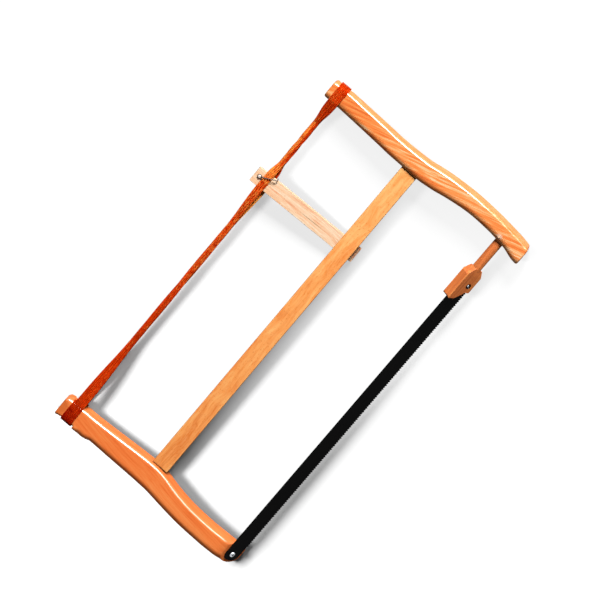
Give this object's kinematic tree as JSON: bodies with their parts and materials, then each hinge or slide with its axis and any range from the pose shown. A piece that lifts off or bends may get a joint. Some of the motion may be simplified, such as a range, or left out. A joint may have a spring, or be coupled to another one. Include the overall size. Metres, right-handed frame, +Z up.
{
  "type": "bow saw",
  "caption": "Wooden bow saw: shaped arms rock on a stretcher while a twisted cord and toggle draw their heads together and stretch a slanted toothed blade.",
  "frame": {"origin": "middle of the saw's box, on the surface that its back lies on", "axes": "+X along the stretcher towards the knob's arm, +Y from the blade to the cord, +Z up from the back to the front"},
  "size_m": [0.534, 0.298, 0.0306],
  "materials": {
    "arm_wood": "varnished beech",
    "stretcher_wood": "varnished pale beech",
    "knob_wood": "varnished beech",
    "dowel_wood": "bare wood",
    "toggle_wood": "planed, bare",
    "blade_steel": "blackened steel",
    "bright_steel": "zinc plated",
    "wire_steel": "dull wire",
    "cord": "braided, red with yellow flecks"
  },
  "bodies": {
    "stretcher": {"stretcher": "stretcher_wood"},
    "lower_arm": {"lower_arm": "arm_wood", "blade_screw": "bright_steel"},
    "upper_arm": {"upper_arm": "arm_wood", "knob_dowel": "dowel_wood"},
    "blade": {"blade": "blade_steel"},
    "knob": {"knob": "knob_wood", "blade_pin": "bright_steel"},
    "cord": {"tension_cord": "cord", "cord_knot": "cord"},
    "toggle": {"toggle": "toggle_wood", "keeper_wire": "wire_steel", "keeper_nail": "bright_steel"}
  },
  "joints": [
    {"name": "lower_arm_rock", "type": "hinge", "parent": "stretcher", "child": "lower_arm", "pos_m": [-0.228, 0.0128, 0.015], "axis": [0, 0, 1], "range_deg": [-1.5, 1.5]},
    {"name": "upper_arm_rock", "type": "hinge", "parent": "stretcher", "child": "upper_arm", "pos_m": [0.2362, 0.0128, 0.015], "axis": [0, 0, 1], "range_deg": [-1.5, 1.5]},
    {"name": "blade_swing", "type": "hinge", "parent": "lower_arm", "child": "blade", "pos_m": [-0.2527, -0.11796, 0.01684], "axis": [0, 0, 1], "range_deg": [-1.4, 1.4]},
    {"name": "knob_turn", "type": "hinge", "parent": "blade", "child": "knob", "pos_m": [0.1786, -0.11732, 0.0176], "axis": [1, 0, 0], "range_deg": [-8, 8], "stiffness_Nm_per_rad": 0.4, "deforming": ["blade"]},
    {"name": "cord_shift", "type": "slide", "parent": "stretcher", "child": "cord", "axis": [1, 0, 0], "range_m": [-0.0032, 0.0032]},
    {"name": "toggle_turn", "type": "hinge", "parent": "cord", "child": "toggle", "pos_m": [0.1177, 0.1315, 0.0135], "axis": [1, 0, 0], "range_deg": [0, 170], "stiffness_Nm_per_rad": 0.1, "springref_deg": -85.94, "deforming": ["tension_cord"]}
  ],
  "couplings": [
    {"joint": "upper_arm_rock", "follows": "lower_arm_rock", "ratio": 1},
    {"joint": "blade_swing", "follows": "lower_arm_rock", "ratio": -0.9253},
    {"joint": "cord_shift", "follows": "lower_arm_rock", "m_per_rad": -0.1187}
  ]
}
